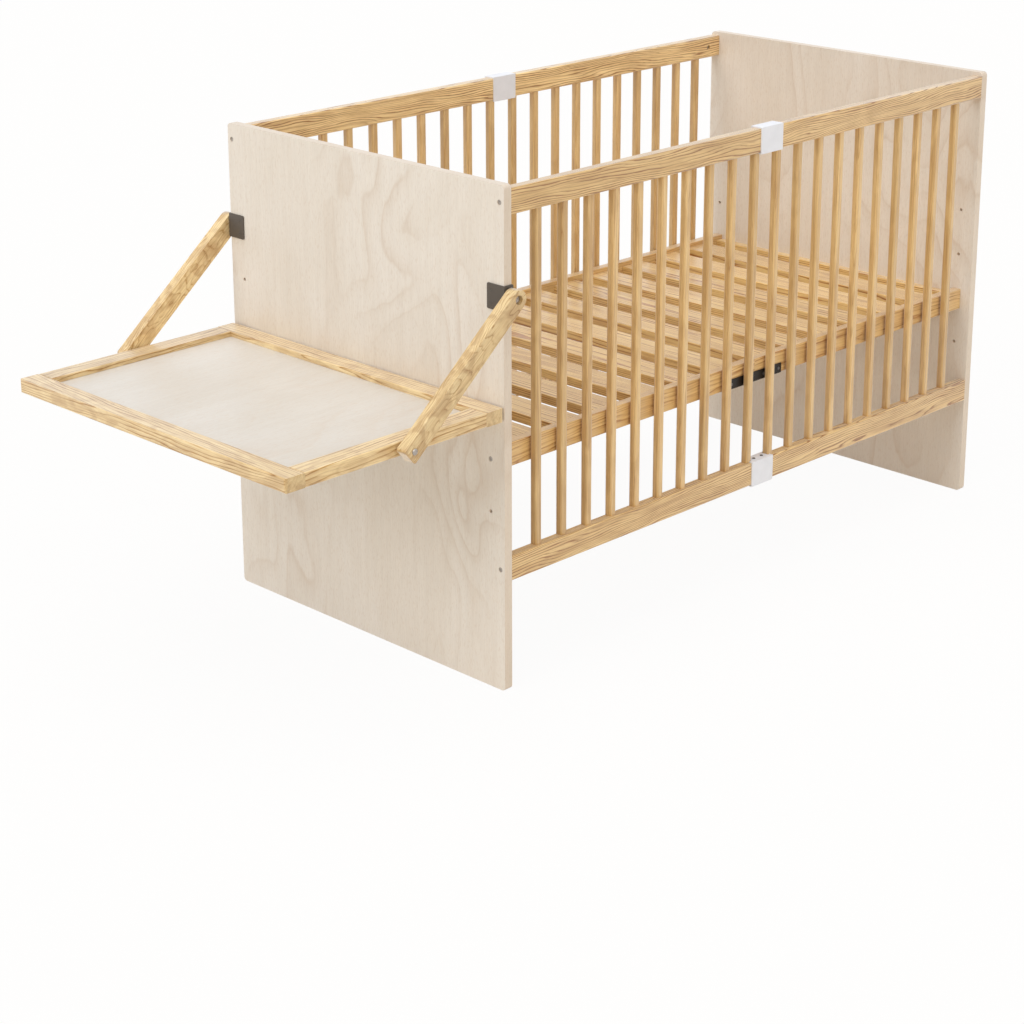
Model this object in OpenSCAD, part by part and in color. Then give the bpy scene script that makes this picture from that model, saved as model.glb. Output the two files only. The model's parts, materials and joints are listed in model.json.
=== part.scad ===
// Crib with a swing-over changer.
// +X runs along the crib, from the changer end (near) to the far end.
// The front side is at -Y, and Z = 0 is the floor. The origin is the middle of the part's footprint.

/* [Crib] */
// Length over the two end panels
crib_l = 1452; // [1380:2:1600]
// Width of the end panels
crib_w = 744; // [680:2:820]
// Height of the end panels
panel_h = 942; // [920:1:1000]
// Thickness of the end panels
panel_t = 18; // [16:1:24]
// Radius of the panels' corners
panel_corner_r = 8; // [2:1:20]

/* [Side rails] */
// Thickness of the side rails
rail_t = 22; // [20:1:28]
// Height of the top rails
top_rail_h = 47; // [38:1:56]
// Height of the bottom rails
bottom_rail_h = 47; // [38:1:56]
// From the panel's top edge down to the middle of the top rails
top_rail_drop = 31; // [30:1:60]
// From the floor up to the middle of the bottom rails
bottom_rail_z = 235; // [210:1:250]
// Rounding of the rails' long edges
rail_edge_r = 3; // [1:0.5:5]

/* [Side slats] */
// Width of a side slat, along the crib
slat_w = 15.5; // [10:0.5:18]
// Thickness of a side slat, across the crib
slat_t = 15.5; // [10:0.5:16]
// How far the slats stand inwards from the middle of the rails
slat_in = 2.5; // [0:0.5:2.5]
// Rounding of the slats' long edges
slat_edge_r = 4; // [1:0.5:4.5]
// Number of side slats in each half of a side
slats_per_half = 10; // [8:1:11]
// From the end panel's inner face to the middle of the first side slat
slat_end = 75.3; // [65:0.1:85]
// Length of a slat's tenon in the rail
slat_tenon_l = 12; // [8:1:16]
// Width and thickness of a slat's tenon
slat_tenon_w = 8; // [6:0.5:9]

/* [Joining sleeves] */
// Length of a sleeve, along the rail
sleeve_l = 65; // [60:1:80]
// Wall of a sleeve
sleeve_wall = 2.5; // [1.5:0.1:4]
// From the sleeve's middle to each of its screws
sleeve_screw_x = 12; // [8:1:14]

/* [Mattress base] */
// Height of the lowest row of base holes
base_row_low_z = 341; // [325:1:350]
// Distance from one row of base holes to the next
base_row_pitch = 99; // [90:1:104]
// Row in use, counted up from 0
base_row = 1; // [0:1:3]
// From the panel's edge to the base holes
base_inset = 35; // [35:0.5:45]
// Thickness of the base's side rails
base_rail_t = 20; // [16:1:21]
// Height of the base's side rails
base_rail_h = 45; // [40:1:60]
// Width of a base slat, along the crib
base_slat_w = 70; // [60:1:76]
// Thickness of a base slat
base_slat_t = 19; // [12:1:20]
// Number of base slats in each half of the base
base_slats_per_half = 6; // [5:1:7]
// From the end panel's inner face to the middle of the first base slat
base_slat_end = 92; // [92:1:100]
// From the side rail's top down to the slats' top
base_slat_drop = 10; // [4:1:14]
// How far a base slat is housed in the side rail
base_slat_housing = 8; // [4:1:9]
// Rounding of the long edges of the base's rails and slats
base_edge_r = 2; // [1:0.5:3]
// Thickness of the base's end rails, along the crib
base_end_t = 20; // [18:1:28]
// Length of the plate that joins two base side rails
base_plate_l = 164; // [130:2:200]
// Height of that plate
base_plate_h = 20; // [14:1:24]
// Thickness of that plate
base_plate_t = 2; // [1.5:0.5:3]
// From the plate's end to its outer screw
base_plate_screw_in = 9; // [7:1:14]
// From the plate's middle to its inner screw
base_plate_screw_mid = 26; // [14:1:40]

/* [Changer board] */
// Height of the board's underside in its outer position
board_z = 518; // [490:1:540]
// Thickness of the board's frame
board_t = 26; // [22:1:30]
// Depth of the board, along the crib
board_d = 497; // [440:1:560]
// Gap between the board and the end panel
board_gap = 2; // [2:0.5:5]
// Width of the frame members
member_w = 42; // [36:1:50]
// Rounding of the frame members' long edges
member_edge_r = 2.5; // [1:0.5:4]
// Rounding of the board's four upright corners
board_corner_r = 5; // [3:0.5:8]
// From the frame's top down to the inset panel
tray_depth = 11; // [6:1:12]
// Thickness of the inset panel
tray_panel_t = 9; // [6:1:9]
// How far the inset panel is housed in the frame
tray_housing = 8; // [5:1:10]
// Height of the gap between board and panel top when the board lies over the crib
lay_gap = 0.3; // [0.3:0.1:1]

/* [Changer arms] */
// From the board's inner edge to its pivot
board_pivot_in = 239; // [225:1:240]
// Thickness of an arm, across the crib
arm_t = 22; // [18:1:26]
// Width of an arm
arm_w = 35; // [30:1:44]
// From the board's pivot to the arm's lower end
arm_tail = 15; // [14:1:22]
// Rounding of the arm's lower corners
arm_tail_r = 5; // [4:1:12]
// Thickness of the corner brackets
bracket_t = 2.5; // [2:0.5:4]
// Height of the corner brackets
bracket_h = 46.5; // [40:0.5:60]
// Length of the bracket's leg on the panel's face
bracket_face_l = 40; // [34:1:60]
// Radius of the brackets' free corners
bracket_corner_r = 3; // [1:0.5:5]
// From the end of that leg to the bracket's screws
bracket_screw_in = 11; // [7:0.5:12]
// From the bracket's middle up and down to its screws
bracket_screw_z = 12; // [9:0.5:15]
// How far the bracket's side leg reaches past the panel's inner face
bracket_over = 2.5; // [0:0.5:4]
// How far the bracket's middle lies below the pivot
bracket_drop = 1.8; // [0:0.1:6]

/* [Hardware] */
// Radius of the frame bolts' shank
bolt_r = 3; // [2.5:0.5:3.5]
// Radius of the frame bolts' head
bolt_head_r = 4.3; // [4.2:0.1:4.5]
// Height of the frame bolts' head
bolt_head_h = 2.4; // [1.8:0.1:2.6]
// Radius of the recess for that head in the end panel
bolt_recess_r = 4.8; // [4.6:0.1:6]
// Depth of that recess
bolt_recess_depth = 3.2; // [2.6:0.1:4]
// Radius of the holes for the frame bolts
bolt_hole_r = 3.5; // [3.4:0.1:4]
// How far a frame bolt reaches into its rail
bolt_reach = 48; // [42:1:51]
// From the rail's end to its barrel nut
nut_x = 38; // [32:1:38]
// Radius of a barrel nut
nut_r = 5; // [4.5:0.5:6]
// Length of a barrel nut
nut_l = 14; // [12:1:14]
// Radius of the pivot bolts' smooth shoulder
pivot_r = 4; // [3.5:0.5:5]
// Radius of the pivot bolts' thread
pivot_thread_r = 3; // [2.5:0.5:3]
// Length of the pivot bolts' thread
pivot_thread_l = 22; // [16:1:26]
// Radius of the upper pivot bolts' recessed head
upper_head_r = 7; // [6:0.5:8]
// Height of the upper pivot bolts' head
upper_head_h = 4.5; // [3:0.5:6]
// Radius of the counterbore in the arm
counterbore_r = 8.5; // [8.3:0.1:10]
// Depth of the counterbore in the arm
counterbore_depth = 10.5; // [7:0.5:11]
// Radius of the lower pivot bolts' domed head
lower_head_r = 6; // [5.5:0.5:8]
// Height of the lower pivot bolts' domed head
lower_head_h = 3; // [2.5:0.5:5]
// Radius of the hexagon socket in the bolt heads, across its corners
socket_r = 2.4; // [1.5:0.1:2.4]
// Depth of that socket
socket_depth = 1.4; // [0.8:0.1:1.4]
// Radius of the washers and spacers on the pivots
washer_r = 9; // [7:0.5:10]
// Thickness of the washer between bracket and arm
washer_t = 3.2; // [1.5:0.1:4]
// Radius of the threaded inserts in the panel's edge
panel_insert_r = 4.5; // [4.2:0.1:6]
// Radius of the threaded inserts in the board's frame
board_insert_r = 6; // [4.5:0.5:7]
// Length of the threaded inserts
insert_l = 20; // [14:1:24]
// Radius of the small screws' shank
screw_r = 1.6; // [1.2:0.1:2]
// Radius of the small screws' head
screw_head_r = 3.2; // [2.6:0.1:4]
// Height of the small screws' head
screw_head_h = 1.2; // [0.8:0.1:1.4]
// Depth of the hexagon socket in the small screws' head
screw_socket_depth = 0.6; // [0.3:0.1:0.7]
// Length of the small screws' shank
screw_l = 13; // [9:1:14]
// Radius of the base and board dowels
dowel_r = 4; // [3:0.5:5]
// How far a dowel reaches into each piece
dowel_reach = 20; // [14:1:24]
// How far a base dowel reaches into the side rail
base_dowel_reach = 10; // [6:1:12]
// From the side rail's underside up to the middle of the base dowels
base_dowel_up = 8.5; // [7:0.5:10]

/* [Fits] */
// Radial play of a shaft in its hole
fit = 0.05; // [0.02:0.01:0.1]
// Play of a joint in the wood
joint_play = 0.15; // [0.1:0.05:0.3]
// Side play of a turning arm
run_gap = 0.3; // [0.2:0.05:0.5]
// Extra depth of a blind hole beyond what it holds
blind_play = 1; // [0.5:0.5:2]

/* [Hidden] */
$fn = 48;
eps = 0.01;

FRONT = -1;
BACK = 1;
NEAR = -1;
FAR = 1;
SIDES = [FRONT, BACK];
HALVES = [NEAR, FAR];

plywood = "#dccab2";
oak = "#d8b684";
beech = "#cfa36c";
pale_oak = "#e3c797";
white = "#e6e6e8";
black = "#35312e";
steel = "#b9bcc0";

// Stations along the crib. The board's reach beyond the near panel sets the middle of the footprint.
board_reach = board_gap + board_d;
near_out = (board_reach - crib_l) / 2;
near_in = near_out + panel_t;
far_out = near_out + crib_l;
far_in = far_out - panel_t;
mid_x = near_out + crib_l / 2;
half_l = mid_x - near_in;
edge_y = crib_w / 2;

// Side rails and slats
rail_y = edge_y - rail_t / 2;
slat_y = rail_y - slat_in;
top_rail_z = panel_h - top_rail_drop;
slat_pitch = (half_l - slat_end) / (slats_per_half - 0.5);

// Mattress base
base_z = base_row_low_z + base_row * base_row_pitch;
base_rows = 4;
base_y = edge_y - base_inset;
base_bottom_z = base_z - base_rail_h / 2;
base_slat_top_z = base_z + base_rail_h / 2 - base_slat_drop;
base_in_y = base_y - base_rail_t / 2;
base_slat_pitch = (half_l - base_slat_end) / (base_slats_per_half - 0.5);
base_dowel_z = base_bottom_z + base_dowel_up;

// Changer: the pivot on the panel lies midway between the board's two heights, so that half a turn
// of the arms lays the board level on the panel's top edge
board_out = near_out - board_reach;
board_in = near_out - board_gap;
board_mid_z = board_z + board_t / 2;
upper_x = near_out + panel_t / 2;
upper_z = (board_z + panel_h + lay_gap) / 2 + board_t / 2;
lower_x = board_in - board_pivot_in;
arm_dx = upper_x - lower_x;
arm_dz = upper_z - board_mid_z;
arm_l = sqrt(arm_dx * arm_dx + arm_dz * arm_dz);
arm_angle = atan2(arm_dz, arm_dx);
bracket_z = upper_z - bracket_drop;
tray_z = board_z + board_t - tray_depth;

// Distances from the middle plane outwards, across the pivots
thread_end_y = edge_y - pivot_thread_l;
bracket_y = edge_y + bracket_t;
washer_y = bracket_y + washer_t;
arm_in_y = washer_y + run_gap;
arm_out_y = arm_in_y + arm_t;
upper_seat_y = arm_out_y - counterbore_depth + run_gap;
lower_seat_y = arm_out_y + run_gap;

// ---------------------------------------------------------------- shapes

// Rectangle with rounded corners, centred
module rounded_rect(w, h, r) {
    square([w - 2 * r, h], center = true);
    square([w, h - 2 * r], center = true);
    for (x = [-1, 1], y = [-1, 1])
        translate([x * (w / 2 - r), y * (h / 2 - r)]) circle(r);
}

// Bar along X from x0 to x1, centred on y and z
module bar_x(x0, x1, y, z, w, h, r) {
    translate([x0, y, z]) rotate([90, 0, 90]) linear_extrude(x1 - x0) rounded_rect(w, h, r);
}

// Bar along Y from y0 to y1, centred on x and z
module bar_y(y0, y1, x, z, w, h, r) {
    translate([x, y1, z]) rotate([90, 0, 0]) linear_extrude(y1 - y0) rounded_rect(w, h, r);
}

// Box from its low corner to its high corner
module box(low, high) {
    translate(low) cube(high - low);
}

// Round rod along X from x0 to x1
module rod_x(x0, x1, y, z, r) {
    translate([x0, y, z]) rotate([0, 90, 0]) cylinder(h = x1 - x0, r = r);
}

// Round rod along Y from y0 to y1
module rod_y(y0, y1, x, z, r) {
    translate([x, y1, z]) rotate([90, 0, 0]) cylinder(h = y1 - y0, r = r);
}

// Round rod across the pivots on one side, measured outwards from the middle plane
module rod_out(side, y0, y1, x, z, r) {
    if (side == BACK) rod_y(y0, y1, x, z, r);
    else rod_y(-y1, -y0, x, z, r);
}

// Screw that points along -Z, with its head on z = 0
module screw() {
    difference() {
        cylinder(h = screw_head_h, r = screw_head_r);
        translate([0, 0, screw_head_h - screw_socket_depth]) cylinder(h = 1, r = screw_r * 0.8, $fn = 6);
    }
    translate([0, 0, -screw_l]) cylinder(h = screw_l + eps, r = screw_r);
}

// Hole for such a screw, a little wider and deeper
module screw_hole(depth) {
    translate([0, 0, -depth]) cylinder(h = depth + 1, r = screw_r + fit);
}

// ---------------------------------------------------------------- end panels

// Holes of an end panel's frame bolts, and the spare rows of base holes
module bolt_holes(x0) {
    for (side = SIDES) {
        for (z = [top_rail_z, bottom_rail_z])
            rod_x(x0 - 1, x0 + panel_t + 1, side * rail_y, z, bolt_hole_r);
        for (row = [0:base_rows - 1])
            rod_x(x0 - 1, x0 + panel_t + 1, side * base_y, base_row_low_z + row * base_row_pitch,
                  bolt_hole_r);
    }
}

// Recesses in the outer face for the heads of the bolts in use
module bolt_recesses(half) {
    face = half == NEAR ? near_out : far_out;
    mouth = face + half;
    seat = bolt_seat(half);
    for (side = SIDES, at = [[rail_y, top_rail_z], [rail_y, bottom_rail_z], [base_y, base_z]])
        rod_x(min(mouth, seat), max(mouth, seat), side * at[0], at[1], bolt_recess_r);
}

// Where the underside of a bolt's head lies
function bolt_seat(half) = (half == NEAR ? near_out : far_out) - half * bolt_recess_depth;

module panel_board(x0) {
    translate([x0, 0, panel_h / 2]) rotate([90, 0, 90])
        linear_extrude(panel_t) rounded_rect(crib_w, panel_h, panel_corner_r);
}

module near_end_panel() {
    color(plywood) difference() {
        panel_board(near_out);
        bolt_holes(near_out);
        bolt_recesses(NEAR);
        for (side = SIDES) {
            rod_out(side, edge_y - insert_l, edge_y + 1, upper_x, upper_z, panel_insert_r + fit);
            rod_out(side, thread_end_y - blind_play, edge_y, upper_x, upper_z, pivot_thread_r + fit);
            at_bracket_screws(side) screw_hole(screw_l + blind_play);
        }
    }
}

module far_end_panel() {
    color(plywood) difference() {
        panel_board(far_in);
        bolt_holes(far_in);
        bolt_recesses(FAR);
    }
}

// ---------------------------------------------------------------- side rails

// Middle of a side slat, counted out from the crib's middle
function slat_x(half, i) = mid_x + half * (i + 0.5) * slat_pitch;

// One end of a half rail at the crib's middle, the other at the panel
function half_x0(half) = half == NEAR ? near_in : mid_x;
function half_x1(half) = half == NEAR ? mid_x : far_in;
function panel_face(half) = half == NEAR ? near_in : far_in;

// Bores for the bolt and the barrel nut in the end of a rail
module end_bores(side, half, y, z, t) {
    face = panel_face(half);
    mouth = face + half;
    tip = face - half * (bolt_reach + blind_play);
    rod_x(min(mouth, tip), max(mouth, tip), side * y, z, bolt_hole_r);
    rod_out(side, y - t / 2 - 1, y + nut_l / 2, face - half * nut_x, z, nut_r + fit);
}

// Half of a side rail. The slats enter it from below (-1) or from above (+1).
module side_rail(side, half, z, h, slat_face) {
    difference() {
        bar_x(half_x0(half), half_x1(half), side * rail_y, z, rail_t, h, rail_edge_r);
        end_bores(side, half, rail_y, z, rail_t);
        for (i = [0:slats_per_half - 1]) {
            mortise_w = slat_tenon_w + 2 * joint_play;
            translate([slat_x(half, i), side * slat_y, z + slat_face * h / 2])
                cube([mortise_w, mortise_w, 2 * (slat_tenon_l + joint_play)], center = true);
        }
        translate([mid_x + half * sleeve_screw_x, side * rail_y, z + slat_face * h / 2])
            facing(slat_face) screw_hole(screw_l + blind_play);
    }
}

// Turns a thing over where the face looks down
module facing(face) {
    rotate([face > 0 ? 0 : 180, 0, 0]) children();
}

module top_rail(side, half) {
    color(oak) side_rail(side, half, top_rail_z, top_rail_h, -1);
}

module bottom_rail(side, half) {
    color(oak) side_rail(side, half, bottom_rail_z, bottom_rail_h, 1);
}

// The slats of one half of a side, each with a tenon at both ends
module side_slats(side, half) {
    z0 = bottom_rail_z + bottom_rail_h / 2;
    z1 = top_rail_z - top_rail_h / 2;
    color(beech) for (i = [0:slats_per_half - 1])
        translate([slat_x(half, i), side * slat_y, 0]) {
            translate([0, 0, z0]) linear_extrude(z1 - z0) rounded_rect(slat_w, slat_t, slat_edge_r);
            translate([0, 0, (z0 + z1) / 2])
                cube([slat_tenon_w, slat_tenon_w, z1 - z0 + 2 * slat_tenon_l], center = true);
        }
}

// Sleeve round the joint of two half rails, with notches where the slats pass and two screws
module sleeve(side, z, h, slat_face) {
    notch_x = slat_pitch / 2 - slat_w / 2 - joint_play;
    color(white) difference() {
        translate([mid_x, side * rail_y, z])
            cube([sleeve_l, rail_t + 2 * sleeve_wall, h + 2 * sleeve_wall], center = true);
        translate([mid_x, side * rail_y, z]) cube([sleeve_l + 2, rail_t, h], center = true);
        for (half = HALVES)
            translate([mid_x + half * (notch_x + sleeve_l / 2), side * slat_y,
                       z + slat_face * (h + sleeve_wall) / 2])
                cube([sleeve_l, slat_t + 2 * joint_play, sleeve_wall + 1], center = true);
        at_sleeve_screws(side, z, h, slat_face) screw_hole(sleeve_wall + 1);
    }
}

module at_sleeve_screws(side, z, h, slat_face) {
    for (half = HALVES)
        translate([mid_x + half * sleeve_screw_x, side * rail_y, z + slat_face * (h / 2 + sleeve_wall)])
            facing(slat_face) children();
}

module sleeve_screws() {
    color(steel) for (side = SIDES) {
        at_sleeve_screws(side, top_rail_z, top_rail_h, -1) screw();
        at_sleeve_screws(side, bottom_rail_z, bottom_rail_h, 1) screw();
    }
}

// ---------------------------------------------------------------- mattress base

function base_slat_x(half, i) = mid_x + half * (i + 0.5) * base_slat_pitch;

module base_rail(side, half) {
    color(pale_oak) difference() {
        bar_x(half_x0(half), half_x1(half), side * base_y, base_z, base_rail_t, base_rail_h, base_edge_r);
        end_bores(side, half, base_y, base_z, base_rail_t);
        for (i = [0:base_slats_per_half - 1]) {
            w = base_slat_w + 2 * joint_play;
            x = base_slat_x(half, i);
            y0 = base_in_y - 1;
            y1 = base_in_y + base_slat_housing + joint_play;
            box([x - w / 2, side == BACK ? y0 : -y1, base_slat_top_z - base_slat_t],
                [x + w / 2, side == BACK ? y1 : -y0, base_slat_top_z + joint_play]);
        }
        at_base_plate_screws(side, half) screw_hole(screw_l + blind_play);
        rod_out(side, base_in_y - 1, base_in_y + base_dowel_reach + blind_play, base_dowel_x(half),
                base_dowel_z, dowel_r + fit);
    }
}

function base_dowel_x(half) = panel_face(half) - half * base_end_t / 2;

module base_end_rail(half) {
    face = panel_face(half);
    h = base_slat_top_z - base_bottom_z;
    color(pale_oak) difference() {
        bar_y(-base_in_y, base_in_y, face - half * base_end_t / 2, base_bottom_z + h / 2, base_end_t, h,
              base_edge_r);
        for (side = SIDES)
            rod_out(side, base_in_y - dowel_reach - blind_play, base_in_y + 1, base_dowel_x(half),
                    base_dowel_z, dowel_r + fit);
    }
}

module base_dowels() {
    color(beech) for (side = SIDES, half = HALVES)
        rod_out(side, base_in_y - dowel_reach, base_in_y + base_dowel_reach, base_dowel_x(half),
                base_dowel_z, dowel_r);
}

module base_slats(half) {
    reach = base_in_y + base_slat_housing;
    color(pale_oak) for (i = [0:base_slats_per_half - 1])
        bar_y(-reach, reach, base_slat_x(half, i), base_slat_top_z - base_slat_t / 2,
              base_slat_w, base_slat_t, base_edge_r);
}

// Places a screw that is driven in from outside, through the plate and into the side rail
module at_base_plate_screws(side, half) {
    for (x = [base_plate_screw_mid, base_plate_l / 2 - base_plate_screw_in])
        translate([mid_x + half * x, side * (base_y + base_rail_t / 2 + base_plate_t),
                   base_bottom_z + base_plate_h / 2])
            rotate([-side * 90, 0, 0]) children();
}

module base_plate(side) {
    y0 = base_y + base_rail_t / 2;
    y1 = y0 + base_plate_t;
    color(black) difference() {
        box([mid_x - base_plate_l / 2, side == BACK ? y0 : -y1, base_bottom_z],
            [mid_x + base_plate_l / 2, side == BACK ? y1 : -y0, base_bottom_z + base_plate_h]);
        for (half = HALVES) at_base_plate_screws(side, half) screw_hole(base_plate_t + 1);
    }
}

module base_plate_screws() {
    color(steel) for (side = SIDES, half = HALVES) at_base_plate_screws(side, half) screw();
}

// ---------------------------------------------------------------- frame bolts and nuts

// Bolt along X through a panel, with its head sunk in the outer face
module frame_bolt(half, y, z) {
    shank = panel_t - bolt_recess_depth + bolt_reach;
    translate([bolt_seat(half), y, z]) rotate([0, half * 90, 0]) difference() {
        union() {
            cylinder(h = bolt_head_h, r = bolt_head_r);
            translate([0, 0, -shank]) cylinder(h = shank + eps, r = bolt_r);
        }
        translate([0, 0, bolt_head_h - socket_depth]) cylinder(h = socket_depth + 1, r = socket_r, $fn = 6);
    }
}

// Barrel nut across the rail, with its threaded hole along X
module barrel_nut(side, half, y, z) {
    x = panel_face(half) - half * nut_x;
    difference() {
        rod_out(side, y - nut_l / 2, y + nut_l / 2, x, z, nut_r);
        rod_x(x - nut_r - 1, x + nut_r + 1, side * y, z, bolt_r + fit);
    }
}

module top_rail_bolts() {
    color(steel) for (side = SIDES, half = HALVES)
        frame_bolt(half, side * rail_y, top_rail_z);
}

module bottom_rail_bolts() {
    color(steel) for (side = SIDES, half = HALVES)
        frame_bolt(half, side * rail_y, bottom_rail_z);
}

module base_bolts() {
    color(steel) for (side = SIDES, half = HALVES) frame_bolt(half, side * base_y, base_z);
}

module top_rail_nuts() {
    color(steel) for (side = SIDES, half = HALVES) barrel_nut(side, half, rail_y, top_rail_z);
}

module bottom_rail_nuts() {
    color(steel) for (side = SIDES, half = HALVES) barrel_nut(side, half, rail_y, bottom_rail_z);
}

module base_nuts() {
    color(steel) for (side = SIDES, half = HALVES) barrel_nut(side, half, base_y, base_z);
}

// ---------------------------------------------------------------- brackets

// Places a screw that is driven through the bracket's face leg, along +X, with its head flush
module at_bracket_screws(side) {
    for (z = [-1, 1])
        translate([near_out - bracket_t + screw_head_h, side * (edge_y - bracket_face_l + bracket_screw_in),
                   bracket_z + z * bracket_screw_z])
            rotate([0, -90, 0]) children();
}

// Plate that lies on z = 0 and runs along +X, with its two far corners rounded
module bracket_leg(l) {
    r = bracket_corner_r;
    linear_extrude(bracket_t) {
        translate([0, -bracket_h / 2]) square([l - r, bracket_h]);
        translate([0, -bracket_h / 2 + r]) square([l, bracket_h - 2 * r]);
        for (y = [-1, 1]) translate([l - r, y * (bracket_h / 2 - r)]) circle(r);
    }
}

// One leg on the panel's outer face and one on its edge
module bracket(side) {
    color(black) difference() {
        mirror([0, side == BACK ? 1 : 0, 0]) {
            translate([near_out, -bracket_y, bracket_z]) rotate([0, -90, 0]) rotate(90)
                bracket_leg(bracket_face_l + bracket_t);
            translate([near_out - bracket_t, -edge_y, bracket_z]) rotate([90, 0, 0])
                bracket_leg(bracket_t + panel_t + bracket_over);
        }
        rod_out(side, edge_y - 1, bracket_y + 1, upper_x, upper_z, pivot_r + fit);
        at_bracket_screws(side) {
            screw_hole(bracket_t + 1);
            cylinder(h = screw_head_h + 1, r = screw_head_r + fit);
        }
    }
}

module bracket_screws() {
    color(black) for (side = SIDES) at_bracket_screws(side) screw();
}

// ---------------------------------------------------------------- pivots

module threaded_insert(side, x, z, r) {
    difference() {
        rod_out(side, edge_y - insert_l, edge_y, x, z, r);
        rod_out(side, edge_y - insert_l - 1, edge_y + 1, x, z, pivot_thread_r + fit);
    }
}

module panel_inserts() {
    color(steel) for (side = SIDES) threaded_insert(side, upper_x, upper_z, panel_insert_r);
}

module board_inserts() {
    color(steel) for (side = SIDES) threaded_insert(side, lower_x, board_mid_z, board_insert_r);
}

// Thread and smooth shoulder of a pivot bolt, up to the underside of its head
module pivot_shank(side, x, z, seat_y) {
    rod_out(side, thread_end_y, edge_y + eps, x, z, pivot_thread_r);
    rod_out(side, edge_y, seat_y + eps, x, z, pivot_r);
}

// Hexagon socket in a head whose top lies at y
module pivot_socket(side, x, z, y) {
    translate([x, side * (y - socket_depth), z]) rotate([-side * 90, 0, 0])
        cylinder(h = socket_depth + 1, r = 1.3 * socket_r, $fn = 6);
}

module upper_pivot_bolts() {
    head_y = upper_seat_y + upper_head_h;
    color(steel) for (side = SIDES) difference() {
        union() {
            pivot_shank(side, upper_x, upper_z, upper_seat_y);
            rod_out(side, upper_seat_y, head_y, upper_x, upper_z, upper_head_r);
        }
        pivot_socket(side, upper_x, upper_z, head_y);
    }
}

module lower_pivot_bolts() {
    rim_h = 1;
    crown = lower_head_h - rim_h;
    dome_r = (lower_head_r * lower_head_r + crown * crown) / (2 * crown);
    color(steel) for (side = SIDES) difference() {
        union() {
            pivot_shank(side, lower_x, board_mid_z, lower_seat_y);
            rod_out(side, lower_seat_y, lower_seat_y + rim_h, lower_x, board_mid_z, lower_head_r);
            translate([lower_x, side * (lower_seat_y + rim_h), board_mid_z]) rotate([-side * 90, 0, 0])
                rotate_extrude() intersection() {
                    translate([0, crown - dome_r]) circle(dome_r);
                    square([lower_head_r, crown]);
                }
        }
        pivot_socket(side, lower_x, board_mid_z, lower_seat_y + lower_head_h);
    }
}

module upper_washers() {
    color(steel) for (side = SIDES) difference() {
        rod_out(side, bracket_y, washer_y, upper_x, upper_z, washer_r);
        rod_out(side, bracket_y - 1, washer_y + 1, upper_x, upper_z, pivot_r + fit);
    }
}

module lower_spacers() {
    color(steel) for (side = SIDES) difference() {
        rod_out(side, edge_y, arm_in_y - run_gap, lower_x, board_mid_z, washer_r);
        rod_out(side, edge_y - 1, arm_in_y + 1, lower_x, board_mid_z, pivot_r + fit);
    }
}

// ---------------------------------------------------------------- arms

// Outline of an arm, from its lower pivot at the origin along +X
module arm_outline() {
    square_end = -arm_tail + arm_tail_r;
    translate([square_end, -arm_w / 2]) square([arm_l - square_end, arm_w]);
    translate([-arm_tail, -arm_w / 2 + arm_tail_r]) square([arm_tail_r + eps, arm_w - 2 * arm_tail_r]);
    for (y = [-1, 1]) translate([square_end, y * (arm_w / 2 - arm_tail_r)]) circle(arm_tail_r);
    translate([arm_l, 0]) circle(arm_w / 2);
}

module arm(side) {
    color(pale_oak) difference() {
        translate([lower_x, side == BACK ? arm_out_y : -arm_in_y, board_mid_z]) rotate([90, 0, 0])
            linear_extrude(arm_t) rotate(arm_angle) arm_outline();
        rod_out(side, arm_in_y - 1, arm_out_y + 1, lower_x, board_mid_z, pivot_r + fit);
        rod_out(side, arm_in_y - 1, arm_out_y + 1, upper_x, upper_z, pivot_r + fit);
        rod_out(side, arm_out_y - counterbore_depth, arm_out_y + 1, upper_x, upper_z, counterbore_r);
    }
}

// ---------------------------------------------------------------- changer board

tray_out = board_out + member_w;
tray_in = board_in - member_w;
tray_y = edge_y - member_w;

// The space of the inset panel, with the given play above it and round it
module tray_space(play) {
    box([tray_out - tray_housing - play, -tray_y - tray_housing - play, tray_z - tray_panel_t],
        [tray_in + tray_housing + play, tray_y + tray_housing + play, tray_z + play]);
}

// Places the dowels of the board's four corners, clear of the inset panel's housing
module at_board_dowels() {
    quarter = (member_w - tray_housing) / 4;
    for (side = SIDES, x = [tray_out, tray_in], y = [quarter, 3 * quarter])
        translate([x, side * (edge_y - y), board_mid_z]) rotate([0, 90, 0]) children();
}

module board_dowel_holes() {
    at_board_dowels() cylinder(h = 2 * (dowel_reach + blind_play), r = dowel_r + fit, center = true);
}

// Outline of the board from above
module board_outline() {
    translate([(board_out + board_in) / 2, 0, board_z])
        linear_extrude(board_t) rounded_rect(board_d, crib_w, board_corner_r);
}

module board_long_member(x0) {
    color(pale_oak) difference() {
        intersection() {
            bar_y(-edge_y, edge_y, x0 + member_w / 2, board_mid_z, member_w, board_t, member_edge_r);
            board_outline();
        }
        tray_space(joint_play);
        board_dowel_holes();
    }
}

module board_side_member(side) {
    color(pale_oak) difference() {
        bar_x(tray_out, tray_in, side * (edge_y - member_w / 2), board_mid_z, member_w, board_t,
              member_edge_r);
        tray_space(joint_play);
        board_dowel_holes();
        rod_out(side, edge_y - insert_l, edge_y + 1, lower_x, board_mid_z, board_insert_r + fit);
        rod_out(side, thread_end_y - blind_play, edge_y, lower_x, board_mid_z, pivot_thread_r + fit);
    }
}

module board_tray_panel() {
    color(plywood) tray_space(0);
}

module board_dowels() {
    color(beech) at_board_dowels() cylinder(h = 2 * dowel_reach, r = dowel_r, center = true);
}

// ---------------------------------------------------------------- nodes

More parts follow.
